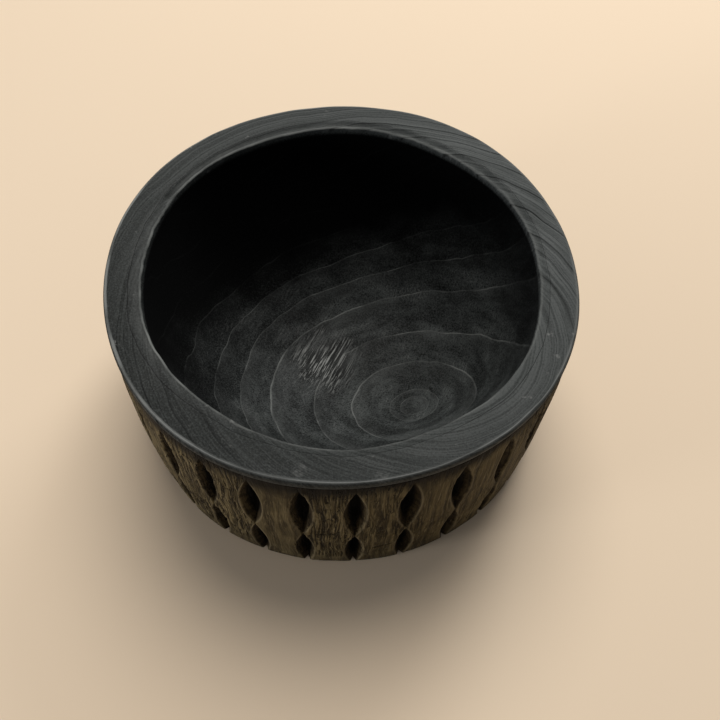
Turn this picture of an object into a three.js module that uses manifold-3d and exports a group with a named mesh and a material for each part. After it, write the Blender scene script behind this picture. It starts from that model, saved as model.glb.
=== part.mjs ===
// A hand-carved wooden bowl: one thick block of log, hollowed out, blackened over the rim and the
// inside, and cut all round the brown outside with chains of pointed gouges.
// Millimetres, +Z up, origin at the centre of the flat underside.
// The block is held as two finish zones that nest with a hair's gap: the blackened body and the
// carved outer wall.
import * as THREE from 'three';
import { mergeVertices } from 'three/addons/utils/BufferGeometryUtils.js';
import Module from 'manifold-3d';

// Whole bowl
const OUTER_RADIUS = 125;
const HEIGHT = 115;
const RIM_WIDTH = 20;
const FLOOR_THICKNESS = 18;
const EDGE_RADIUS = 3;
const ZONE_GAP = 0.3;

// Hollow: a superellipse from the rim down to the floor
const WALL_POWER = 2.4;
const DEPTH_POWER = 1.5;

// Black lip, which stands slightly proud of the brown wall
const LIP_HEIGHT = 6;
const LIP_PROUD = 0.6;

// Brown outer wall
const WALL_THICKNESS = 12;
const BELLY = 2.6;
const BASE_EDGE = 2;

// Gouges: pointed hollows, one above another in each column
const COLUMNS = 30;
const FIRST_COLUMN_DEG = 3.6;
const COLUMN_WANDER_DEG = 0.8;
const WANDERS_PER_TURN = 4;
const WANDER_PHASE = 3.64;
const UPPER_GOUGE = { top: 104, bottom: 50.5, halfWidth: 6, depth: 7.5 };
const LOWER_GOUGE = { top: 49.5, bottom: -1, halfWidth: 4.8, depth: 6 };
const GOUGE_SIDES = 6;
const GOUGE_STEPS = 6;

// Facets of the turned surfaces
const SEGMENTS = 84;
const HOLLOW_STEPS = 12;
const EDGE_STEPS = 2;
const WALL_STEPS = 3;

const blackenedWood = new THREE.MeshStandardMaterial({
  name: 'blackened_wood', color: 0x2b2c2b, roughness: 0.55, metalness: 0,
});
const brownWood = new THREE.MeshStandardMaterial({
  name: 'brown_wood', color: 0x594a33, roughness: 0.75, metalness: 0,
});

const wasm = await Module();
wasm.setup();

// Points on a quarter circle about (r, z), from one angle to the other, in degrees from +r.
function arc(r, z, radius, fromDeg, toDeg, steps) {
  const points = [];
  for (let i = 0; i <= steps; i++) {
    const angle = THREE.MathUtils.degToRad(fromDeg + (toDeg - fromDeg) * i / steps);
    points.push(new THREE.Vector2(r + radius * Math.cos(angle), z + radius * Math.sin(angle)));
  }
  return points;
}

// Points down the hollow, from just under its rounded top edge to the middle of the floor.
function hollowProfile() {
  const radius = OUTER_RADIUS - RIM_WIDTH;
  const top = HEIGHT - EDGE_RADIUS;
  const points = [];
  for (let i = 1; i < HOLLOW_STEPS; i++) {
    const angle = Math.PI / 2 * i / HOLLOW_STEPS;
    const r = radius * Math.cos(angle) ** (2 / WALL_POWER);
    const depth = (top - FLOOR_THICKNESS) * Math.sin(angle) ** (2 / DEPTH_POWER);
    points.push(new THREE.Vector2(r, top - depth));
  }
  points.push(new THREE.Vector2(0, FLOOR_THICKNESS));
  return points;
}

// Turns a profile of (r, z) points about +Z.
function turned(profile) {
  return new THREE.LatheGeometry(profile, SEGMENTS).rotateX(Math.PI / 2);
}

// Floor, inner wall, flat rim and overhanging lip.
function bodyGeometry() {
  const innerRadius = OUTER_RADIUS - RIM_WIDTH;
  const shoulder = OUTER_RADIUS - WALL_THICKNESS;
  const lipBottom = HEIGHT - LIP_HEIGHT;
  return turned([
    new THREE.Vector2(0, 0),
    new THREE.Vector2(shoulder, 0),
    new THREE.Vector2(shoulder, lipBottom),
    new THREE.Vector2(OUTER_RADIUS - LIP_PROUD, lipBottom),
    new THREE.Vector2(OUTER_RADIUS, lipBottom + LIP_PROUD),
    ...arc(OUTER_RADIUS - EDGE_RADIUS, HEIGHT - EDGE_RADIUS, EDGE_RADIUS, 0, 90, EDGE_STEPS),
    ...arc(innerRadius + EDGE_RADIUS, HEIGHT - EDGE_RADIUS, EDGE_RADIUS, 90, 180, EDGE_STEPS),
    ...hollowProfile(),
  ]);
}

// Radius of the brown wall at a height: nearly a cylinder, with a slight belly at half height.
function wallRadius(z) {
  const fromMiddle = 2 * z / (HEIGHT - LIP_HEIGHT) - 1;
  return OUTER_RADIUS - LIP_PROUD + BELLY * (1 - fromMiddle ** 2);
}

// The brown wall before it is gouged, as a ring round the body.
function wallRing() {
  const inner = OUTER_RADIUS - WALL_THICKNESS + ZONE_GAP;
  const top = HEIGHT - LIP_HEIGHT - ZONE_GAP;
  const profile = [
    new THREE.Vector2(inner, 0),
    new THREE.Vector2(wallRadius(0) - BASE_EDGE, 0),
  ];
  for (let i = 0; i <= WALL_STEPS; i++) {
    const z = BASE_EDGE + (top - BASE_EDGE) * i / WALL_STEPS;
    profile.push(new THREE.Vector2(wallRadius(z), z));
  }
  profile.push(new THREE.Vector2(inner, top));
  profile.push(profile[0].clone());
  return turned(profile);
}

// A spindle with pointed ends, lying on the wall's surface, deeper than it is wide.
function gougeCutter(gouge, angle) {
  const middle = (gouge.top + gouge.bottom) / 2;
  const half = (gouge.top - gouge.bottom) / 2;
  const profile = [];
  for (let i = 0; i <= GOUGE_STEPS; i++) {
    const along = -1 + 2 * i / GOUGE_STEPS;
    profile.push(new THREE.Vector2(gouge.halfWidth * (1 - along ** 2), half * along));
  }
  return new THREE.LatheGeometry(profile, GOUGE_SIDES)
    .rotateX(Math.PI / 2)
    .scale(1, gouge.depth / gouge.halfWidth, 1)
    .translate(0, -wallRadius(middle), middle)
    .rotateZ(angle);
}

// Where a column of gouges stands. Column 0 is at the front, -Y; the spacing wanders as hand work does.
function columnAngle(column) {
  const turn = column / COLUMNS;
  const wander = COLUMN_WANDER_DEG * Math.cos(2 * Math.PI * WANDERS_PER_TURN * turn + WANDER_PHASE);
  return THREE.MathUtils.degToRad(FIRST_COLUMN_DEG + 360 * turn + wander);
}

function toSolid(geometry) {
  const bare = geometry.clone();
  bare.deleteAttribute('normal');
  bare.deleteAttribute('uv');
  const merged = mergeVertices(bare);
  return new wasm.Manifold(new wasm.Mesh({
    numProp: 3,
    vertProperties: new Float32Array(merged.attributes.position.array),
    triVerts: new Uint32Array(merged.index.array),
  }));
}

function toGeometry(solid) {
  const mesh = solid.getMesh();
  const geometry = new THREE.BufferGeometry();
  geometry.setAttribute('position', new THREE.BufferAttribute(mesh.vertProperties, 3));
  geometry.setIndex(new THREE.BufferAttribute(mesh.triVerts, 1));
  geometry.computeVertexNormals();
  return geometry;
}

// The brown wall with every gouge cut out of it.
function carvedWallGeometry() {
  let wall = toSolid(wallRing());
  for (let column = 0; column < COLUMNS; column++) {
    for (const gouge of [UPPER_GOUGE, LOWER_GOUGE]) {
      wall = wall.subtract(toSolid(gougeCutter(gouge, columnAngle(column))));
    }
  }
  return toGeometry(wall);
}

function namedMesh(name, geometry, material) {
  const mesh = new THREE.Mesh(geometry, material);
  mesh.name = name;
  return mesh;
}

const bowl = new THREE.Group();
bowl.add(namedMesh('blackened_body', bodyGeometry(), blackenedWood));
bowl.add(namedMesh('carved_outer_wall', carvedWallGeometry(), brownWood));

export default bowl;
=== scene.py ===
"""The looks of a hand-carved wooden bowl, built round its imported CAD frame. Metres, +Z up, -Y to the front.

The bowl is one block of log. The visual model has two pieces, as the frame has: the blackened body, which
is the hollow, the rim and the underside, and the brown outer wall with its chains of gouges.
"""

import math

import bpy
import numpy as np
from mathutils import Matrix, Vector, noise


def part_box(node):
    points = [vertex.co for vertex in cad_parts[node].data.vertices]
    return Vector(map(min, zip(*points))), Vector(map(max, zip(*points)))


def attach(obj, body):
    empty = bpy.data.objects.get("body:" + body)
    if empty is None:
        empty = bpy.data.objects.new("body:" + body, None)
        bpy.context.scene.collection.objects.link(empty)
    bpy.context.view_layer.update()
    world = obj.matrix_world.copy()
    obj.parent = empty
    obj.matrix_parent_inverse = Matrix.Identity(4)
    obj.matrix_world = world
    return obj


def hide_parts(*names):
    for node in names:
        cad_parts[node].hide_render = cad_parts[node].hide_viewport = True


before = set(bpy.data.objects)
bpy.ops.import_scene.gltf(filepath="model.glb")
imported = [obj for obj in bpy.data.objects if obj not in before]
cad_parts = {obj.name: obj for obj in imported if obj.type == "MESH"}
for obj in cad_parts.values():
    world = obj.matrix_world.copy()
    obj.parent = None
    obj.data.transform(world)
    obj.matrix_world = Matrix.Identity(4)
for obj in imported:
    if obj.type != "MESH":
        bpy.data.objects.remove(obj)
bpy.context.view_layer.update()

MM = 0.001

# Sizes read from the frame
body_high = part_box("blackened_body")[1]
wall_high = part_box("carved_outer_wall")[1]
OUTER_RADIUS = body_high.x
HEIGHT = body_high.z
WALL_RADIUS_LIMIT = wall_high.x
WALL_TOP = wall_high.z

# The hollow, a superellipse from the rim down to the floor, and the rim with its black lip
RIM_WIDTH = 20 * MM
FLOOR_THICKNESS = 18 * MM
WALL_POWER = 2.4
DEPTH_POWER = 1.5
LIP_HEIGHT = 6 * MM
LIP_PROUD = 0.6 * MM
OUTER_EDGE = 2.6 * MM
SHOULDER_RADIUS = OUTER_RADIUS - 12 * MM

# The rim's inner edge: a rounded arris, then a bevel up to a crease, where the flat of the rim begins
ARRIS = 1.9 * MM
ARRIS_TURN = math.radians(75)
BEVEL = 3.8 * MM
BEVEL_DROP = 1.7 * MM
CREASE_WIDTH = 0.35 * MM
CREASE_DEPTH = 0.30 * MM

# How far hand work leaves the rim's two edges out of round. The outer edge has four faint corners, and the
# inner edge is a little oval, with six flats.
CORNERS = 4
CORNER_SIZE = 1.0 * MM
CORNER_AT = math.radians(55)
OVAL_SIZE = 0.6 * MM
OVAL_AT = math.radians(140)
FLATS = 6
FLAT_SIZE = 0.7 * MM
FLAT_END_AT = math.radians(25)

# Single marks on the rim's inner edge, each as (where in degrees, how far it fades in degrees, size): where
# the bevel is wider, where it drops further, and the chips
WIDER_BEVELS = ((-42, 30, 1.6 * MM), (205, 34, 3.6 * MM))
DEEPER_BEVELS = ((150, 14, 0.8 * MM),)
CHIPS = ((41, 2.4, 1.3 * MM), (57, 3.0, 1.1 * MM), (69, 2.2, 0.9 * MM), (88, 3.5, 0.5 * MM),
         (154, 1.5, 0.9 * MM), (-118, 3.0, 0.6 * MM))

# Whitish scuffs on the rim's front: (x, y, half width)
SCUFFS = ((-19 * MM, -117.5 * MM, 4.0 * MM), (18 * MM, -121 * MM, 4.0 * MM))

# The log: its pith stands to the front right of the bowl's axis. The radii of its first rings are listed, and
# the rest follow at even steps. The rings are stretched one way, and wider to the back left.
PITH = Vector((43 * MM, -42 * MM, 0))
RINGS_MM = (8.5, 14, 34.5, 54.5, 78.5, 93.5, 105, 116.5, 126, 134.5, 141.5, 146.5, 150.5)
OUTER_RING_STEP_MM = 3.5
RING_REACH_MM = 200
RING_STRETCH = 0.041
RING_STRETCH_TURN = math.radians(55)
RING_LEAN = 0.092
RING_LEAN_TURN = math.radians(40)

# The scratched patch on the hollow's floor: its middle, and which way the scratches run
SCRATCHED = (-12 * MM, -4 * MM, FLOOR_THICKNESS)
SCRATCH_TURN = math.radians(64)

# The outer wall and its gouges, one above another in each column. Column 0 is at the front, and the spacing
# wanders as hand work does.
BELLY = 2.0 * MM
INNER_FACE_GAP = 0.05 * MM
BASE_EDGE_HEIGHT = 2.2 * MM
BASE_EDGE_DEPTH = 1.8 * MM
FISSURE_DEPTH = 0.8 * MM
CRACK_DEPTH = 0.6 * MM
COLUMNS = 30
FIRST_COLUMN = math.radians(3.6)
COLUMN_WANDER = math.radians(0.8)
WANDERS_PER_TURN = 4
WANDER_PHASE = 3.64
COLUMN_SWAY = 0.008
UPPER_GOUGE = {"top": 104 * MM, "half_width": 6.2 * MM, "depth": 9.5 * MM}
LOWER_GOUGE = {"top": 50 * MM, "half_width": 5.2 * MM, "depth": 8 * MM}
GOUGE_FOOT = -3 * MM
GOUGE_TOP_WANDER = 1.5 * MM
GOUGE_MEETING_WANDER = 2.5 * MM
GOUGE_SIZE_WANDER = 0.12
NARROWEST = 0.35 * MM

# The panels between the columns. Panel 0 is the first to the right of the front, and panel -1 is left of it.
# How rough each one is, from panel 0 on, and the cracks across them: (panel, start and end across it from 0
# to 1, height in mm, half width in mm).
PANEL_ROUGHNESS = (0.55, 0.35, 0.30, 0.50, 0.75, 0.30, 0.60, 0.85, 0.40, 0.65, 0.20, 0.70, 0.45, 0.80, 0.55,
                   0.25, 0.75, 0.50, 0.90, 0.35, 0.60, 0.15, 0.70, 0.50, 0.80, 0.45, 0.70, 0.95, 0.04, 0.80)
CRACKS = ((-1, 0.15, 0.75, 52, 1.0), (0, 0.25, 1.0, 27, 1.1), (-1, 0.30, 0.62, 86, 0.7),
          (5, 0.1, 0.7, 40, 0.8), (9, 0.3, 1.0, 64, 1.0), (13, 0.0, 0.6, 24, 1.0),
          (18, 0.2, 0.9, 47, 0.9), (22, 0.1, 0.8, 70, 1.0))

# How fine the meshes are
AROUND_BODY = 560
HOLLOW_ROWS = 106
SMALLEST_RING = 0.2 * MM
AROUND_IN_GOUGE = 12
AROUND_PANEL = 20
WALL_ROWS = 96

# The camera: how far it stands from the rim's middle and how high, and which way it looks
LENS_MM = 38
SENSOR_MM = 36
CAMERA_DISTANCE = 3.229 * OUTER_RADIUS
CAMERA_ELEVATION = math.radians(51.3)
CAMERA_HEADING = math.radians(-2.56)
CAMERA_DIP = math.radians(58.47)
CAMERA_ROLL = math.radians(2.21)


# ---------------------------------------------------------------------------------------------- shapes

def outer_wave(angle):
    """How far the rim's outer edge stands out of round at each angle."""
    return CORNER_SIZE * np.cos(CORNERS * (angle - CORNER_AT))


def inner_wave(angle):
    """How far the rim's inner edge stands out of round at each angle."""
    return OVAL_SIZE * np.cos(2 * (angle - OVAL_AT)) + FLAT_SIZE * np.cos(FLATS * (angle - FLAT_END_AT))


def drift(*place):
    """Smooth noise from about -1 to 1 at one place."""
    return noise.noise(Vector(place))


def wobble(points, scale, seed):
    """Smooth noise from about -1 to 1 at each point, with features about 1 / scale wide."""
    shift = Vector((seed * 7.31, seed * 3.17, seed * 5.73))
    values = [noise.noise(Vector(point) * scale + shift) for point in points.reshape(-1, 3)]
    return np.array(values).reshape(points.shape[:-1])


def bump_at(angle, centre_deg, width_deg):
    """A smooth bump of height 1 at one angle, fading over a width on both sides."""
    away = np.angle(np.exp(1j * (angle - math.radians(centre_deg)))) / math.radians(width_deg)
    return np.exp(-away ** 2)


def marks(angle, places):
    """The sum of smooth bumps, each as (where in degrees, how far it fades in degrees, size)."""
    return sum(size * bump_at(angle, centre, width) for centre, width, size in places)


def grid_mesh(name, rows, attributes, close_ends=False):
    """A closed mesh from rows x around x 3 points, with a value at each point for every attribute. With
    close_ends, the first and last rows are each closed onto a point; without, the last joins the first."""
    count, around = rows.shape[:2]
    flat = rows.reshape(-1, 3)
    index = np.arange(count * around).reshape(count, around)
    right = np.roll(index, -1, axis=1)
    if close_ends:
        quads = np.stack([index[:-1], index[1:], right[1:], right[:-1]], -1).reshape(-1, 4)
        first, last = len(flat), len(flat) + 1
        flat = np.concatenate([flat, [rows[0].mean(0)], [rows[-1].mean(0)]])
        caps = [(first, a, b) for a, b in zip(index[0], right[0])]
        caps += [(last, b, a) for a, b in zip(index[-1], right[-1])]
    else:
        quads = np.stack([index, right, np.roll(right, -1, 0), np.roll(index, -1, 0)], -1).reshape(-1, 4)
        caps = []
    mesh = bpy.data.meshes.new(name)
    mesh.from_pydata(flat.tolist(), [], quads.tolist() + caps)
    for attribute, values in attributes.items():
        layer = mesh.attributes.new(attribute, "FLOAT", "POINT")
        padded = np.zeros(len(flat), np.float32)
        padded[:count * around] = values.reshape(-1)
        layer.data.foreach_set("value", padded)
    mesh.shade_smooth()
    mesh.update()
    piece = bpy.data.objects.new(name, mesh)
    bpy.context.scene.collection.objects.link(piece)
    return piece


# ------------------------------------------------------------------------------------ the body's shape

class Turning:
    """Rows of points all round the bowl's axis, and each point's value for wear and painted highlight."""

    def __init__(self, around):
        self.angle = np.linspace(0, 2 * math.pi, around, endpoint=False)
        self.circle = np.stack([np.cos(self.angle), np.sin(self.angle), np.zeros(around)], -1)
        self.rows, self.wear_and_highlight = [], []

    def add(self, r, z, edge_marking=0.0):
        """Adds a row. Each value is one number, or one for each angle."""
        height = np.broadcast_to(z, self.angle.shape)
        self.rows.append(np.stack([r * np.cos(self.angle), r * np.sin(self.angle), height], -1))
        self.wear_and_highlight.append(np.broadcast_to(edge_marking, self.angle.shape))


def hollow_path(count):
    """Parameters from 0 at the rim to 1 at the middle of the floor, evenly spaced down the hollow."""
    share = np.linspace(0, 1, 400)
    turn = share * math.pi / 2
    r = (OUTER_RADIUS - RIM_WIDTH) * np.cos(turn) ** (2 / WALL_POWER)
    z = -(HEIGHT - FLOOR_THICKNESS) * np.sin(turn) ** (2 / DEPTH_POWER)
    along = np.concatenate([[0], np.cumsum(np.hypot(np.diff(r), np.diff(z)))])
    return np.interp(np.linspace(0, along[-1], count), along, share)


def add_hollow(body, inner, top):
    """From the middle of the floor up to just under the rim's inner edge."""
    for share in hollow_path(HOLLOW_ROWS)[:0:-1]:
        turn = share * math.pi / 2
        r = inner * math.cos(turn) ** (2 / WALL_POWER) if share < 1 else SMALLEST_RING
        body.add(r, top - (top - FLOOR_THICKNESS) * math.sin(turn) ** (2 / DEPTH_POWER))


def add_inner_edge(body, inner, top, arris, bevel, bevel_drop):
    """The worn arris with its chips, and the bevel. Gives the radius of the crease above the bevel."""
    angle, circle = body.angle, body.circle
    chips = marks(angle, CHIPS)
    ragged = 0.30 * wobble(circle, 38, 8) * (0.3 + bump_at(angle, 160, 30) + bump_at(angle, 70, 30))
    chipped = inner + chips + (0.45 * wobble(circle, 9, 7) + ragged) * MM
    # The arris's values mark the rubbed edge and its painted highlight
    for turn in np.linspace(0, ARRIS_TURN, 8):
        body.add(chipped + arris * (1 - math.cos(turn)) - chips * (1 - math.sin(turn)),
                 top + (0.7 * arris - 0.5 * chips) * math.sin(turn), math.sin(turn * 2.0) ** 2)
    bevel_wear_and_highlight = 0.28 + 0.30 * bump_at(angle, 145, 55)
    for share in (0.2, 0.4, 0.6, 0.8, 0.95):
        below_crease = bevel_drop * (1 - share ** 0.85) + 0.5 * chips * (1 - share) + 0.12 * MM
        body.add(chipped + arris + (bevel - arris) * share, HEIGHT - below_crease, bevel_wear_and_highlight * (1 - share))
    return chipped + bevel


def add_rim_and_lip(body, crease, outer):
    """From the crease, over the flat of the rim and its rounded outer edge, to the foot of the lip. The
    crease is marked by a value of -1, and the outer edge's painted highlight line by a value over 1."""
    edge = OUTER_EDGE * (1 + 0.25 * wobble(body.circle, 7, 3))
    body.add(crease, HEIGHT - CREASE_DEPTH, -1.0)
    flat_start = crease + CREASE_WIDTH
    body.add(flat_start, HEIGHT - 0.05 * MM)
    for share in np.linspace(0, 1, 13)[1:-1]:
        body.add(flat_start + (outer - edge - flat_start) * share, HEIGHT)
    # Values over 1 along the outer edge mark its painted highlight line
    for turn in np.linspace(math.pi / 2, 0, 8):
        body.add(outer - edge + edge * math.cos(turn), HEIGHT - edge + edge * math.sin(turn),
                 1.8 * math.exp(-((turn - 1.12) / 0.26) ** 2))
    for share in (0.35, 0.7, 0.95):
        body.add(outer - 0.5 * MM * share ** 2, HEIGHT - edge + (edge - LIP_HEIGHT) * share)
    body.add(outer - 1.2 * MM, HEIGHT - LIP_HEIGHT)


def body_rows():
    """Rows of points from the middle of the floor, up the hollow, over the rim and down to the underside,
    and each point's value for wear and painted highlight."""
    body = Turning(AROUND_BODY)
    angle = body.angle
    inner = OUTER_RADIUS - RIM_WIDTH + inner_wave(angle)
    outer = OUTER_RADIUS + outer_wave(angle)
    slow, quick = wobble(body.circle, 2.2, 1), wobble(body.circle, 12, 2)
    arris = ARRIS + 0.5 * MM * slow
    bevel = BEVEL + (0.8 * slow + 0.4 * quick) * MM + marks(angle, WIDER_BEVELS)
    bevel_drop = BEVEL_DROP + 0.5 * MM * slow + marks(angle, DEEPER_BEVELS)
    top = HEIGHT - bevel_drop - arris * 0.7

    add_hollow(body, inner, top)
    crease = add_inner_edge(body, inner, top, arris, bevel, bevel_drop)
    add_rim_and_lip(body, crease, outer)
    body.add(SHOULDER_RADIUS, HEIGHT - LIP_HEIGHT)
    body.add(SHOULDER_RADIUS, HEIGHT / 2)
    for r in np.linspace(SHOULDER_RADIUS, SMALLEST_RING, 14):
        body.add(r, 0)
    return np.array(body.rows), np.array(body.wear_and_highlight)


def soften_body(rows):
    """Adds the slight unevenness of hand work to the hollow and the rim's top."""
    z = rows[..., 2]
    r = np.hypot(rows[..., 0], rows[..., 1])
    in_hollow = (z > FLOOR_THICKNESS * 0.6) & (z < HEIGHT - 1 * MM) & (r < SHOULDER_RADIUS - 2 * MM)
    uneven = 0.45 * MM * wobble(rows, 28, 4) + 0.22 * MM * wobble(rows, 75, 5)
    depth = np.clip((HEIGHT - z) / (12 * MM), 0, 1)
    away = rows - np.array([0, 0, HEIGHT])
    away /= np.maximum(np.linalg.norm(away, axis=-1), 1 * MM)[..., None]
    rows = rows + away * np.where(in_hollow, uneven * depth, 0)[..., None]
    on_rim = (z > HEIGHT - 3 * MM) & ~in_hollow
    rows[..., 2] -= np.where(on_rim, 0.30 * MM * (0.5 + 0.5 * wobble(rows, 18, 6)), 0)
    return rows


# ------------------------------------------------------------------------------------ the wall's shape

def column_angle(column):
    """Where a column of gouges stands, turning from the front to the right."""
    turn = column / COLUMNS
    wander = COLUMN_WANDER * math.cos(2 * math.pi * WANDERS_PER_TURN * turn + WANDER_PHASE)
    return FIRST_COLUMN + 2 * math.pi * turn + wander


def wall_radius(z):
    """The wall's radius at a height before it is carved: nearly a cylinder, with a slight belly."""
    from_middle = 2 * z / WALL_TOP - 1
    return OUTER_RADIUS - LIP_PROUD + BELLY * (1 - from_middle ** 2)


def gouge_at(z, column):
    """(half width, depth) at a height of the column's gouge there, the upper one or the lower one."""
    meet = LOWER_GOUGE["top"] + GOUGE_MEETING_WANDER * drift(column * 1.7, 3.1, 0)
    top = UPPER_GOUGE["top"] + GOUGE_TOP_WANDER * drift(column * 2.3, 8.4, 0)
    gouge, high, low = (UPPER_GOUGE, top, meet) if z > meet else (LOWER_GOUGE, meet, GOUGE_FOOT)
    along = (2 * z - high - low) / (high - low)
    fullness = max(1 - along ** 2, 0)
    size = 1 + GOUGE_SIZE_WANDER * drift(column * 3.1, 1.2, float(z > meet))
    return gouge["half_width"] * size * fullness, gouge["depth"] * size * fullness


def crack_at(column, across, z):
    """How deep into a crack each place across a panel is, from 0 to 1, at one height."""
    depth = np.zeros_like(across)
    for panel, start, end, height, half_width in CRACKS:
        if panel % COLUMNS == column:
            bend = np.array([drift(3 * share, column, height) for share in across])
            inside = np.clip(8 * (across - start), 0, 1) * np.clip(8 * (end - across), 0, 1)
            middle = (height + 1.3 * bend + 2.5 * (across - 0.5)) * MM
            depth = np.maximum(depth, inside * np.exp(-((z - middle) / (half_width * MM)) ** 2))
    return depth


def wall_grid():
    """The outer face as rows x around arrays: the direction of each point from the axis with its height, how
    deep it is cut, whether it is on a gouge's edge, and how rough and how cracked it is. The grid's lines
    follow the gouges' outlines, so that their edges stay crisp."""
    across = AROUND_IN_GOUGE + AROUND_PANEL
    in_gouge = np.linspace(-1, 1, AROUND_IN_GOUGE + 1)[:-1]
    on_panel = np.linspace(0, 1, AROUND_PANEL + 1)[:-1]
    fall = 1 - np.abs(in_gouge)
    profile = 0.55 * fall + 0.45 * fall ** 2 * (3 - 2 * fall)
    points = np.zeros((WALL_ROWS, COLUMNS * across, 3))
    cut, edge, rough, crack = (np.zeros(points.shape[:2]) for _ in range(4))
    for row, z in enumerate(np.linspace(0, WALL_TOP, WALL_ROWS)):
        centres = [column_angle(c) + COLUMN_SWAY * drift(c * 1.9, 0, z * 25) for c in range(COLUMNS)]
        shapes = [gouge_at(z, c) for c in range(COLUMNS)]
        halves = [max(half_width, NARROWEST) / wall_radius(z) for half_width, _ in shapes]
        for c in range(COLUMNS):
            following = (c + 1) % COLUMNS
            full_turn = 2 * math.pi if following == 0 else 0
            start = centres[c] + halves[c]
            end = centres[following] + full_turn - halves[following]
            angles = np.concatenate([centres[c] + in_gouge * halves[c], start + (end - start) * on_panel])
            here = slice(c * across, (c + 1) * across)
            points[row, here] = np.stack([np.sin(angles), -np.cos(angles), np.full(across, z)], -1)
            cut[row, here][:AROUND_IN_GOUGE] = shapes[c][1] * profile
            edge[row, here][[0, AROUND_IN_GOUGE]] = min(1, shapes[c][0] / (2 * MM))
            rough[row, here] = PANEL_ROUGHNESS[c]
            crack[row, here][AROUND_IN_GOUGE:] = crack_at(c, on_panel, z)
    return points, cut, edge, rough, crack


def wall_rows():
    """The wall's rows of points, up its outer face and down its inner face, and the values that its
    material reads at each point."""
    points, cut, edge, rough, crack = wall_grid()
    z = points[..., 2]
    angle = np.arctan2(points[..., 1], points[..., 0])
    on_wall = points * [OUTER_RADIUS, OUTER_RADIUS, 1]
    worn_foot = np.clip((z - 7 * MM) / (9 * MM) + 0.8 * wobble(on_wall, 40, 23), 0.1, 1)
    panel_rough = np.clip((rough + 0.45 * wobble(on_wall, 45, 21)) * worn_foot, 0.03, 1)
    swayed = on_wall + 2.5 * MM * wobble(on_wall, 60, 22)[..., None] * [1, 1, 0]
    fibres = wobble(swayed * [1, 1, 0.13], 420, 11)
    fissure = np.clip(0.16 - np.abs(fibres), 0, 0.16) / 0.16 * panel_rough * (cut < 1.5 * MM)
    uneven = 0.5 * MM * wobble(on_wall, 30, 13) + 0.2 * MM * wobble(on_wall, 90, 14)
    base_edge = np.clip(1 - z / BASE_EDGE_HEIGHT, 0, 1)

    radius = wall_radius(z) + outer_wave(angle) * (0.4 + 0.6 * z / WALL_TOP) + uneven
    radius = radius - FISSURE_DEPTH * fissure - CRACK_DEPTH * crack - BASE_EDGE_DEPTH * base_edge ** 2
    radius = np.minimum(radius, WALL_RADIUS_LIMIT) - cut * (1 + 0.15 * fibres)
    outer = np.stack([points[..., 0] * radius, points[..., 1] * radius, z], -1)
    ring = points[0] * [1, 1, 0] * (SHOULDER_RADIUS + INNER_FACE_GAP)
    inner = [ring + [0, 0, height] for height in (WALL_TOP, WALL_TOP / 2, 0)]

    unmarked = np.zeros((len(inner), points.shape[1]))
    attributes = {"cut": cut / UPPER_GOUGE["depth"], "arris": edge, "rough": panel_rough, "crack": crack}
    return (np.concatenate([outer, inner]),
            {name: np.concatenate([values, unmarked]) for name, values in attributes.items()})


# ------------------------------------------------------------------------------------------- materials

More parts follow.
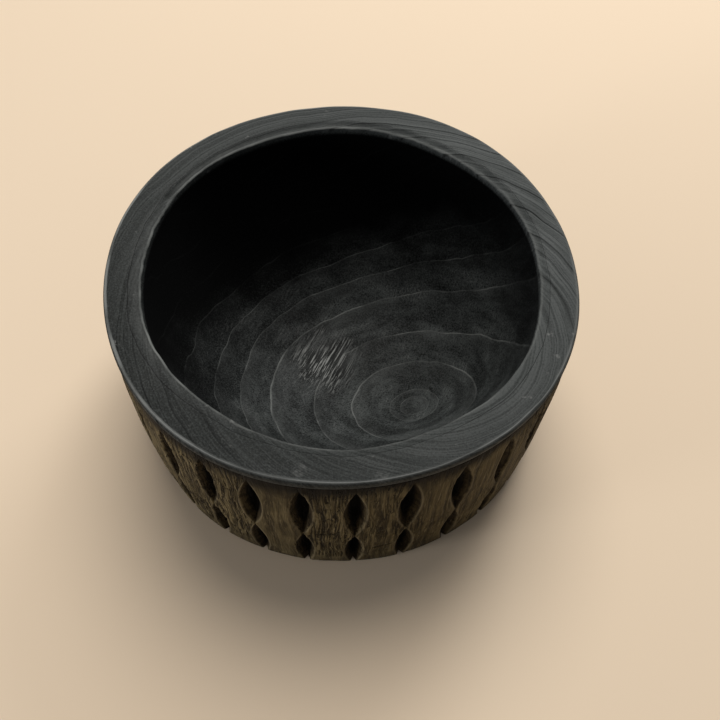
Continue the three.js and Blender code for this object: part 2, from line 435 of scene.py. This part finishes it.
class Nodes:
    """A material's node tree, with short ways to add nodes and link them."""

    def __init__(self, name):
        self.material = bpy.data.materials.new(name)
        self.material.use_nodes = True
        self.tree = self.material.node_tree
        self.shader = self.tree.nodes["Principled BSDF"]

    def add(self, kind, inputs=(), **settings):
        """A new node, with its settings, and its inputs set or linked by name or number."""
        node = self.tree.nodes.new(kind)
        for key, value in settings.items():
            setattr(node, key, value)
        for key, value in dict(inputs).items():
            self.put(node.inputs[key], value)
        return node

    def put(self, socket, value):
        """Links another node's output to the socket, or sets the socket to a plain value."""
        if isinstance(value, bpy.types.NodeSocket):
            self.tree.links.new(value, socket)
        else:
            socket.default_value = value

    def surface(self, colour, roughness, specular, normal=None):
        """Sets the shader's sockets. The specular level is one number for the whole surface."""
        self.put(self.shader.inputs["Base Color"], colour)
        self.put(self.shader.inputs["Roughness"], roughness)
        self.shader.inputs["Specular IOR Level"].default_value = specular
        if normal is not None:
            self.put(self.shader.inputs["Normal"], normal)
        return self.material

    def math(self, operation, a, b=0.0, c=0.0):
        return self.add("ShaderNodeMath", {0: a, 1: b, 2: c}, operation=operation).outputs[0]

    def times(self, a, b):
        return self.math("MULTIPLY", a, b)

    def plus(self, a, b):
        return self.math("ADD", a, b)

    def most(self, a, b):
        return self.math("MAXIMUM", a, b)

    def opposite(self, value):
        """One minus the value."""
        return self.math("SUBTRACT", 1.0, value)

    def centred(self, value):
        """The value less a half, so that noise from 0 to 1 lies on both sides of 0."""
        return self.math("SUBTRACT", value, 0.5)

    def shifted(self, base, value, size):
        """The base, moved by size times the value."""
        return self.math("MULTIPLY_ADD", value, size, base)

    def vector(self, operation, a, b=(0, 0, 0)):
        node = self.add("ShaderNodeVectorMath", {0: a, 1: b}, operation=operation)
        return node.outputs["Value" if operation in ("LENGTH", "DOT_PRODUCT") else "Vector"]

    def toward(self, place, *direction):
        """How far each place lies along a direction, which also scales it."""
        return self.vector("DOT_PRODUCT", place, direction)

    def distance(self, place, centre):
        return self.vector("LENGTH", self.vector("SUBTRACT", place, centre))

    def turned(self, place, angle):
        """The place turned about +Z."""
        return self.add("ShaderNodeVectorRotate", {"Vector": place, "Angle": angle},
                        rotation_type="Z_AXIS").outputs[0]

    def combined(self, x=0.0, y=0.0, z=0.0):
        return self.add("ShaderNodeCombineXYZ", {"X": x, "Y": y, "Z": z}).outputs[0]

    def object_place(self):
        """Each point's place on the piece, and its height."""
        place = self.add("ShaderNodeTexCoord").outputs["Object"]
        return place, self.add("ShaderNodeSeparateXYZ", {0: place}).outputs[2]

    def noise(self, place, scale, detail=3.0, roughness=0.55, stretch=(1, 1, 1)):
        """Noise from 0 to 1. scale is in features per metre, and stretch multiplies each direction's."""
        at = self.vector("MULTIPLY", place, stretch)
        node = self.add("ShaderNodeTexNoise", {"Vector": at, "Scale": scale, "Detail": detail,
                                               "Roughness": roughness})
        return node.outputs["Fac"]

    def span(self, value, low, high, out_low=0.0, out_high=1.0, smooth=True):
        """Maps low..high to out_low..out_high, held at both ends."""
        node = self.add("ShaderNodeMapRange", {"Value": value, "From Min": low, "From Max": high,
                                               "To Min": out_low, "To Max": out_high},
                        interpolation_type="SMOOTHSTEP" if smooth else "LINEAR")
        return node.outputs["Result"]

    def mix(self, share, a, b):
        """Colour a, with a share of colour b."""
        node = self.add("ShaderNodeMix", {0: share}, data_type="RGBA")
        self.put(node.inputs[6], a)
        self.put(node.inputs[7], b)
        return node.outputs[2]

    def attribute(self, name):
        return self.add("ShaderNodeAttribute", attribute_name=name).outputs["Fac"]

    def bump(self, height, distance, strength=1.0, below=None):
        inputs = {"Height": height, "Distance": distance, "Strength": strength}
        if below is not None:
            inputs["Normal"] = below
        return self.add("ShaderNodeBump", inputs).outputs["Normal"]


def ring_curve(nodes, share):
    """How many growth rings lie within each share of the rings' reach."""
    outer_rings = int((RING_REACH_MM - RINGS_MM[-1]) / OUTER_RING_STEP_MM)
    ring_count = len(RINGS_MM) + outer_rings + 1
    curve = nodes.add("ShaderNodeFloatCurve", {"Value": share})
    points = curve.mapping.curves[0].points
    points[0].location = (0, 0)
    points[1].location = (1, 1)
    for i, radius in enumerate(RINGS_MM):
        points.new(radius / RING_REACH_MM, (i + 1) / ring_count)
    for point in points:
        point.handle_type = "VECTOR"
    curve.mapping.update()
    return nodes.times(curve.outputs[0], ring_count)


def across_ring(nodes, place):
    """How far across its growth ring each place is, from 0 on the pith's side to 1 at its outer line, and how
    far from the pith it is, measured along the rings' own shape."""
    from_pith = nodes.vector("MULTIPLY", nodes.vector("SUBTRACT", place, tuple(PITH)), (1, 1, 0))
    stretched = nodes.vector("MULTIPLY", nodes.turned(from_pith, -RING_STRETCH_TURN),
                             (1 + RING_STRETCH, 1 - RING_STRETCH, 0))
    lean = nodes.toward(from_pith, RING_LEAN * math.cos(RING_LEAN_TURN),
                        -RING_LEAN * math.sin(RING_LEAN_TURN), 0)
    distance = nodes.plus(nodes.vector("LENGTH", stretched), lean)
    distance = nodes.shifted(distance, nodes.centred(nodes.noise(place, 26, 2)), 6 * MM)
    distance = nodes.shifted(distance, nodes.centred(nodes.noise(place, 160, 2)), 0.6 * MM)
    rings = ring_curve(nodes, nodes.math("DIVIDE", distance, RING_REACH_MM * MM))
    return nodes.math("FRACT", rings), distance


# -------------------------------------------------------------------------------- the blackened wood

# The hollow's black is soot and painted shade; its grey is rubbed wood with a painted sheen
SOOT_AND_PAINTED_SHADE = (0.0004, 0.0004, 0.0004, 1)
RUBBED_GREY_AND_SHEEN = (0.0540, 0.0590, 0.0572, 1)
# The rim's tones: darker at the front left as painted shade, brighter at the back right as a painted sheen
RIM_SHADED_FRONT_LEFT = ((0.0165, 0.0178, 0.0166, 1), (0.0325, 0.0347, 0.0328, 1))
RIM_SHEEN_BACK_RIGHT = ((0.0500, 0.0540, 0.0520, 1), (0.0960, 0.1020, 0.0985, 1))
LIGHT_SPECK = (0.058, 0.062, 0.060, 1)
DARK_SPECK = (0.0008, 0.0009, 0.0009, 1)
LATE_WOOD = (0.06, 0.062, 0.06, 1)
RING_LINE = (0.150, 0.156, 0.148, 1)
BETWEEN_SCRATCHES = (0.006, 0.0065, 0.006, 1)
# The scratches' light colour is partly a painted highlight
SCRATCH_HIGHLIGHT = (0.28, 0.286, 0.274, 1)
OPEN_GRAIN = (0.001, 0.001, 0.001, 1)
SCUFF = (0.20, 0.20, 0.19, 1)
# The rubbed inner edge, partly a painted highlight
RUBBED_EDGE_AND_HIGHLIGHT = (0.180, 0.185, 0.175, 1)
# The line along the outer edge at the front is a painted highlight
FRONT_EDGE_HIGHLIGHT = (0.25, 0.255, 0.245, 1)
CREASE = (0.004, 0.004, 0.004, 1)


class BlackenedWood(Nodes):
    """Charred and waxed wood: satin black, with grey rings, fine fibres, rubbed edges and painted light. The
    patterns and masks that several marks share are made first, and then each mark is laid over the colour so
    far."""

    def __init__(self):
        super().__init__("blackened_wood")
        self.place, self.height = self.object_place()
        self.part, self.from_pith = across_ring(self, self.place)
        self.wear_and_highlight = self.attribute("wear_and_highlight")
        self.on_rim = self.span(self.height, HEIGHT - 7 * MM, HEIGHT - 3 * MM)
        self.in_hollow = self.opposite(self.on_rim)
        self.to_front = self.toward(self.place, 0.1, -1.0, 0)

        self.clouds = self.noise(self.place, 34, 4)
        self.smudge = self.noise(self.place, 17, 3)
        self.speckle = self.noise(self.place, 1000, 3, 0.8)
        across_and_round = self.combined(x=self.from_pith, y=self.vector("LENGTH", self.place))
        self.streak = self.noise(across_and_round, 1000, 2, 0.6, (1, 0.06, 0))
        flat = self.vector("MULTIPLY", self.place, (0.45, 0.45, 0.45))
        self.patches = self.noise(self.vector("ADD", flat, self.combined(z=self.from_pith)), 75, 4, 0.62)

        self.rubbed_floor_and_shade = self.floor_light_and_shade_mask()
        self.scratched, self.scored = self.scratch_masks()
        self.ring_line = self.ring_line_mask()
        self.groove = self.open_grain_mask()

    def floor_light_and_shade_mask(self):
        """The front and the floor are lighter, partly rubbed by use and partly a painted sheen. Painted shade
        darkens the hollow's back left and its upper right over their soot.
        """
        # The first line bounds the painted shade at the hollow's back left, the second the painted shade high
        # on its right wall
        soot_and_shade_line = self.shifted(self.toward(self.place, 0.40, -0.64, -1.0), self.clouds, 0.036)
        shade_up_the_right = self.shifted(self.toward(self.place, 1.0, 0.1, 0.5), self.clouds, 0.03)
        rubbed_and_lit = self.times(self.span(soot_and_shade_line, -0.092, -0.012),
                            self.span(shade_up_the_right, 0.165, 0.128, 0.2, 1.0))
        return self.most(rubbed_and_lit, self.on_rim)

    def scratch_masks(self):
        """The scratches, dense in one patch and faint elsewhere in the hollow, and the patch between them."""
        lines = self.noise(self.turned(self.place, -SCRATCH_TURN), 1150, 3, 0.65, (0.05, 1, 1))
        lines = self.span(lines, 0.48, 0.62)
        from_patch = self.shifted(self.distance(self.place, SCRATCHED), self.patches, 0.05)
        near_patch = self.span(from_patch, 0.028, 0.052, 1.0, 0.0)
        faint = self.times(self.span(self.patches, 0.48, 0.68, 0.0, 0.18), self.in_hollow)
        scratched = self.times(self.most(near_patch, self.times(faint, self.rubbed_floor_and_shade)), lines)
        return scratched, self.times(near_patch, self.opposite(lines))

    def ring_line_mask(self):
        """The light line at each ring's outer edge, broken in places and fainter at the front."""
        line = self.times(self.span(self.part, 0.945, 0.985), self.span(self.part, 0.985, 1.0, 1.0, 0.0))
        breaks = self.span(self.noise(self.place, 48, 2), 0.38, 0.58, 0.30, 1.0)
        breaks = self.times(breaks, self.span(self.to_front, 0.045, 0.085, 1.0, 0.2))
        line = self.times(self.times(line, breaks), self.in_hollow)
        shown = self.times(self.span(self.patches, 0.34, 0.60, 0.12, 1.0),
                           self.shifted(0.02, self.rubbed_floor_and_shade, 0.90))
        return self.times(line, shown)

    def open_grain_mask(self):
        """The dark grooves of open grain on the rim, mostly at the back right and some at the front left."""
        groove = self.times(self.span(self.part, 0.86, 0.95), self.span(self.part, 0.955, 1.0, 1.0, 0.0))
        from_middle = self.math("ABSOLUTE", self.math("SUBTRACT", self.part, 0.48))
        groove = self.most(groove, self.span(from_middle, 0.045, 0.0, 0.0, 0.45))
        back_right = self.shifted(self.toward(self.place, 0.6, 0.8, 0), self.smudge, 0.12)
        front_left = self.shifted(self.toward(self.place, -0.68, -0.73, 0), self.smudge, 0.08)
        opened = self.most(self.span(back_right, 0.05, 0.175, 0.10, 0.85),
                           self.span(front_left, 0.125, 0.160, 0.0, 0.6))
        return self.times(self.times(groove, self.on_rim), opened)

    def ground(self):
        """The hollow's mottled grey and its soot, with painted shade darker to the left and painted light
        brighter to the right, and the rim's own tones with a painted sheen to the back right. The underside
        is darkened too."""
        mottle = self.times(self.span(self.clouds, 0.3, 0.7, 0.6, 1.0),
                            self.span(self.patches, 0.38, 0.60, 0.38, 1.0))
        # Painted shade to the hollow's left and painted light to its right
        to_right = self.toward(self.place, 1.0, -0.3, 0)
        tone = self.times(mottle, self.times(self.rubbed_floor_and_shade,
                                             self.span(to_right, -0.09, 0.09, 0.53, 1.12)))
        above_underside = self.span(self.height, 5 * MM, 12 * MM, 0.35, 1.0)
        tone = self.times(tone, above_underside)
        streaked = self.span(self.streak, 0.38, 0.66)
        # The rim's painted sheen grows towards the back right, and its painted shade towards the front left
        to_back_right = self.toward(self.place, 0.75, 0.66, 0)
        rim_tone = self.mix(self.span(to_back_right, -0.12, 0.12, smooth=False),
                            self.mix(streaked, *RIM_SHADED_FRONT_LEFT), self.mix(streaked, *RIM_SHEEN_BACK_RIGHT))
        return self.mix(self.on_rim, self.mix(tone, SOOT_AND_PAINTED_SHADE, RUBBED_GREY_AND_SHEEN), rim_tone)

    def with_specks(self, colour):
        light = self.times(self.span(self.speckle, 0.50, 0.64), self.shifted(0.03, self.rubbed_floor_and_shade, 0.55))
        colour = self.mix(light, colour, LIGHT_SPECK)
        dark = self.times(self.span(self.speckle, 0.50, 0.38), self.shifted(0.30, self.in_hollow, 0.55))
        return self.mix(dark, colour, DARK_SPECK)

    def with_rings(self, colour):
        band = self.times(self.math("POWER", self.part, 2.5), self.span(self.clouds, 0.35, 0.6, 0.12, 0.42))
        colour = self.mix(self.times(self.times(band, self.in_hollow), self.rubbed_floor_and_shade), colour, LATE_WOOD)
        return self.mix(self.times(self.ring_line, 0.9), colour, RING_LINE)

    def with_scratches(self, colour):
        colour = self.mix(self.times(self.scored, 0.8), colour, BETWEEN_SCRATCHES)
        # The scratches' light colour is partly a painted highlight
        return self.mix(self.times(self.scratched, 0.85), colour, SCRATCH_HIGHLIGHT)

    def with_open_grain(self, colour):
        return self.mix(self.times(self.groove, 0.85), colour, OPEN_GRAIN)

    def with_scuffs(self, colour):
        """Whitish scuffs on the rim, a few scattered and two at the front with ragged edges."""
        scuff = self.span(self.noise(self.place, 130, 3), 0.67, 0.73)
        ragged = self.centred(self.noise(self.place, 420, 2))
        for x, y, half_width in SCUFFS:
            away = self.shifted(self.distance(self.place, (x, y, HEIGHT)), ragged, 2.4 * half_width)
            scuff = self.most(scuff, self.span(away, half_width, -0.4 * half_width))
        scuff = self.times(scuff, self.times(self.span(self.streak, 0.40, 0.58, 0.4, 1.0), self.on_rim))
        return self.mix(self.times(scuff, 0.5), colour, SCUFF)

    def with_worn_edges_and_highlights(self, colour):
        """The rubbed inner edge, partly a painted highlight, brightest at the back left, the painted
        highlight line along the outer edge at the front, and the dark crease between the bevel and the flat
        of the rim."""
        to_back_left = self.toward(self.place, -0.9, 0.45, 0)
        # The rubbed inner edge, partly a painted highlight, brightest at the back left
        rubbed_and_lit = self.times(self.span(self.wear_and_highlight, 0.05, 0.95, 0.0, 0.9),
                            self.span(to_back_left, -0.05, 0.07, 0.35, 1.0))
        rubbed_and_lit = self.times(rubbed_and_lit, self.span(self.clouds, 0.34, 0.60, 0.3, 1.0))
        colour = self.mix(rubbed_and_lit, colour, RUBBED_EDGE_AND_HIGHLIGHT)
        # A painted highlight line along the outer edge at the front
        front_highlight = self.times(self.span(self.wear_and_highlight, 1.05, 1.7), self.span(self.to_front, 0.03, 0.11, 0.15, 0.75))
        front_highlight = self.times(front_highlight, self.span(self.smudge, 0.35, 0.60, 0.4, 1.0))
        colour = self.mix(front_highlight, colour, FRONT_EDGE_HIGHLIGHT)
        return self.mix(self.span(self.wear_and_highlight, -0.1, -0.8, 0.0, 0.85, smooth=False), colour, CREASE)

    def roughness(self):
        """Satin, smoother in the rubbed patches and rougher in the soot and painted shade of the hollow and
        in the open grain.
        """
        smoother = self.span(self.patches, 0.35, 0.65)
        rough = self.shifted(self.span(self.smudge, 0.3, 0.7, 0.56, 0.70), smoother, -0.14)
        rough = self.shifted(rough, self.centred(self.noise(self.place, 2300, 2)), 0.25)
        soot_and_shade = self.times(self.opposite(self.rubbed_floor_and_shade), 0.5)
        return self.plus(rough, self.plus(soot_and_shade, self.times(self.groove, 0.3)))

    def relief(self):
        """The bump of ring lines and open grain, then fibres, specks and scratches."""
        swing = self.math("SUBTRACT", self.times(self.ring_line, 0.5), self.groove)
        relief = self.bump(swing, 0.35 * MM, 0.6)
        relief = self.bump(self.noise(self.place, 700, 3, 0.6, (1, 1, 0.12)), 0.12 * MM, 0.5, relief)
        relief = self.bump(self.speckle, 0.16 * MM, 0.7, relief)
        return self.bump(self.scratched, 0.10 * MM, 0.6, relief)


def blackened_wood():
    wood = BlackenedWood()
    colour = wood.ground()
    for with_mark in (wood.with_specks, wood.with_rings, wood.with_scratches, wood.with_open_grain,
                      wood.with_scuffs, wood.with_worn_edges_and_highlights):
        colour = with_mark(colour)
    return wood.surface(colour, wood.roughness(), specular=0.07, normal=wood.relief())


# ------------------------------------------------------------------------------------ the brown wood

FIBRE_DARK = (0.040, 0.0295, 0.0140, 1)
FIBRE_LIGHT = (0.138, 0.107, 0.054, 1)
CLOUD = (0.042, 0.031, 0.016, 1)
HAIR = (0.240, 0.192, 0.108, 1)
GAP = (0.0075, 0.005, 0.0028, 1)
SMOOTH_PANEL = (0.030, 0.022, 0.011, 1)
# The gouges' edges, rubbed light and partly a painted highlight
RUBBED_ARRIS_AND_HIGHLIGHT = (0.21, 0.17, 0.105, 1)
# Soot and painted shade under the lip
UNDER_LIP_SOOT_AND_SHADE = (0.008, 0.0065, 0.005, 1)
CUT_BROWN = (0.026, 0.017, 0.008, 1)
CUT_CHARRED = (0.006, 0.0038, 0.002, 1)
CUT_BLACK = (0.0012, 0.0010, 0.0008, 1)


def swaying(nodes, place):
    """The place moved a little sideways, so that the upright fibres read there sway."""
    drawn_out = nodes.vector("MULTIPLY", place, (1, 1, 0.45))
    waves = nodes.add("ShaderNodeTexNoise", {"Vector": drawn_out, "Scale": 80.0, "Detail": 2.0})
    sway = nodes.vector("SUBTRACT", waves.outputs["Color"], (0.5, 0.5, 0.5))
    return nodes.vector("ADD", place, nodes.vector("MULTIPLY", sway, (4.5 * MM, 4.5 * MM, 0)))


def gap_mask(nodes, swayed, rough_panel):
    """The dark gaps between the fibres of the rough panels, and the cracks."""
    near_vein = nodes.math("ABSOLUTE", nodes.centred(nodes.noise(swayed, 500, 1.5, 0.5, (1, 1, 0.035))))
    pits = nodes.noise(swayed, 620, 1.5, 0.5, (1, 1, 0.07))
    gap = nodes.most(nodes.span(near_vein, 0.046, 0.008), nodes.span(pits, 0.58, 0.68))
    gap = nodes.times(gap, nodes.span(rough_panel, 0.1, 0.75))
    return nodes.most(gap, nodes.span(nodes.attribute("crack"), 0.3, 0.8))


def with_blackened_cuts(nodes, colour, place, clouds):
    """Lays the gouges' brown, charred and black over the colour, each deeper than the one before."""
    ragged = nodes.noise(place, 210, 3)
    in_cut = nodes.shifted(nodes.attribute("cut"), nodes.centred(clouds), 0.20)
    in_cut = nodes.shifted(in_cut, nodes.centred(ragged), 0.22)
    brown_cut = nodes.span(in_cut, 0.02, 0.14, 0.0, 0.72)
    colour = nodes.mix(brown_cut, colour, CUT_BROWN)
    charred = nodes.times(nodes.span(ragged, 0.44, 0.58, 0.0, 0.85), brown_cut)
    colour = nodes.mix(charred, colour, CUT_CHARRED)
    return nodes.mix(nodes.span(in_cut, 0.24, 0.54), colour, CUT_BLACK)


def brown_wood():
    """Carved and brushed brown wood: fibrous, blackened in the gouges, rubbed light along their edges with a
    painted highlight, and darker under the lip with soot and painted shade.
    """
    nodes = Nodes("brown_wood")
    place, height = nodes.object_place()
    rough_panel = nodes.attribute("rough")
    swayed = swaying(nodes, place)
    fibre = nodes.noise(swayed, 360, 4, 0.62, (1, 1, 0.07))
    hair = nodes.noise(swayed, 1200, 3, 0.6, (1, 1, 0.05))
    clouds = nodes.noise(place, 34, 4)
    gap = gap_mask(nodes, swayed, rough_panel)

    colour = nodes.mix(nodes.span(fibre, 0.38, 0.62), FIBRE_DARK, FIBRE_LIGHT)
    colour = nodes.mix(nodes.span(clouds, 0.42, 0.72, 0.0, 0.4), colour, CLOUD)
    colour = nodes.mix(nodes.span(hair, 0.52, 0.70, 0.0, 0.55), colour, HAIR)
    colour = nodes.mix(nodes.times(gap, 0.85), colour, GAP)
    colour = nodes.mix(nodes.span(rough_panel, 0.3, 0.05, 0.0, 0.34), colour, SMOOTH_PANEL)
    colour = nodes.mix(nodes.times(nodes.attribute("arris"), 0.5), colour, RUBBED_ARRIS_AND_HIGHLIGHT)
    # Darker just under the lip: soot, and painted shade under the lip
    soot_and_shade_edge = nodes.shifted(height, clouds, 0.016)
    soot_and_shade = nodes.span(soot_and_shade_edge, WALL_TOP - 6 * MM, WALL_TOP + 7 * MM, 0.0, 0.97)
    colour = with_blackened_cuts(nodes, nodes.mix(soot_and_shade, colour, UNDER_LIP_SOOT_AND_SHADE), place, clouds)

    relief = nodes.bump(nodes.shifted(fibre, gap, -0.7), 1.0 * MM, 1.0)
    relief = nodes.bump(hair, 0.18 * MM, 0.6, relief)
    roughness = nodes.span(fibre, 0.2, 0.8, 0.62, 0.85)
    return nodes.surface(colour, roughness, specular=0.08, normal=relief)


# ------------------------------------------------------------------------------------------ the studio

def pale_floor():
    half = 1.6
    mesh = bpy.data.meshes.new("floor")
    mesh.from_pydata([(-half, -half, 0), (half, -half, 0), (half, half, 0), (-half, half, 0)], [],
                     [(0, 1, 2, 3)])
    floor = bpy.data.objects.new("floor", mesh)
    bpy.context.scene.collection.objects.link(floor)
    pale = Nodes("pale_floor").surface((0.76, 0.61, 0.45, 1), roughness=0.8, specular=0.15)
    mesh.materials.append(pale)


def area_light(name, place, aim, size, power, colour):
    """A soft round lamp at a place, turned towards another."""
    light = bpy.data.lights.new(name, "AREA")
    light.shape = "DISK"
    light.size = size
    light.energy = power
    light.color = colour
    lamp = bpy.data.objects.new(name, light)
    lamp.location = place
    lamp.rotation_euler = (Vector(aim) - Vector(place)).to_track_quat("-Z", "Y").to_euler()
    bpy.context.scene.collection.objects.link(lamp)


def studio_light():
    """A dim sky, a large key light and a sheen light from behind, and a small fill at the front left."""
    world = bpy.data.worlds.new("studio")
    bpy.context.scene.world = world
    world.use_nodes = True
    sky = world.node_tree.nodes["Background"]
    sky.inputs["Color"].default_value = (0.93, 0.96, 1.0, 1)
    sky.inputs["Strength"].default_value = 0.17
    area_light("key", (0.12, 1.10, 2.20), (0, 0, 0), size=1.8, power=50, colour=(1.0, 0.97, 0.93))
    area_light("sheen", (0.85, 1.60, 1.35), (0, 0, 0.1), size=0.8, power=16, colour=(0.95, 0.98, 1.0))
    area_light("left", (-1.10, -0.45, 0.20), (0, 0, 0.05), size=0.3, power=5.5, colour=(0.95, 0.97, 1.0))


def camera():
    """A view from the front, looking down steeply into the hollow."""
    lens = bpy.data.cameras.new("camera")
    lens.lens = LENS_MM
    lens.sensor_width = SENSOR_MM
    eye = bpy.data.objects.new("camera", lens)
    bpy.context.scene.collection.objects.link(eye)
    place = Matrix.Translation((0, -CAMERA_DISTANCE * math.cos(CAMERA_ELEVATION),
                                HEIGHT + CAMERA_DISTANCE * math.sin(CAMERA_ELEVATION)))
    aim = Matrix.Rotation(CAMERA_HEADING, 4, "Z") @ Matrix.Rotation(math.pi / 2 - CAMERA_DIP, 4, "X")
    eye.matrix_world = place @ aim @ Matrix.Rotation(CAMERA_ROLL, 4, "Z")
    bpy.context.scene.camera = eye


def main():
    camera()
    studio_light()
    pale_floor()
    bpy.context.scene.view_settings.view_transform = "Standard"

    rows, wear_and_highlight = body_rows()
    body = grid_mesh("blackened_bowl_body", soften_body(rows), {"wear_and_highlight": wear_and_highlight}, close_ends=True)
    body.data.materials.append(blackened_wood())
    wall = grid_mesh("carved_bowl_wall", *wall_rows())
    wall.data.materials.append(brown_wood())
    for piece, node, slot in ((body, "blackened_body", "blackened_wood"),
                              (wall, "carved_outer_wall", "brown_wood")):
        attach(piece, "root")
        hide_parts(node)


main()
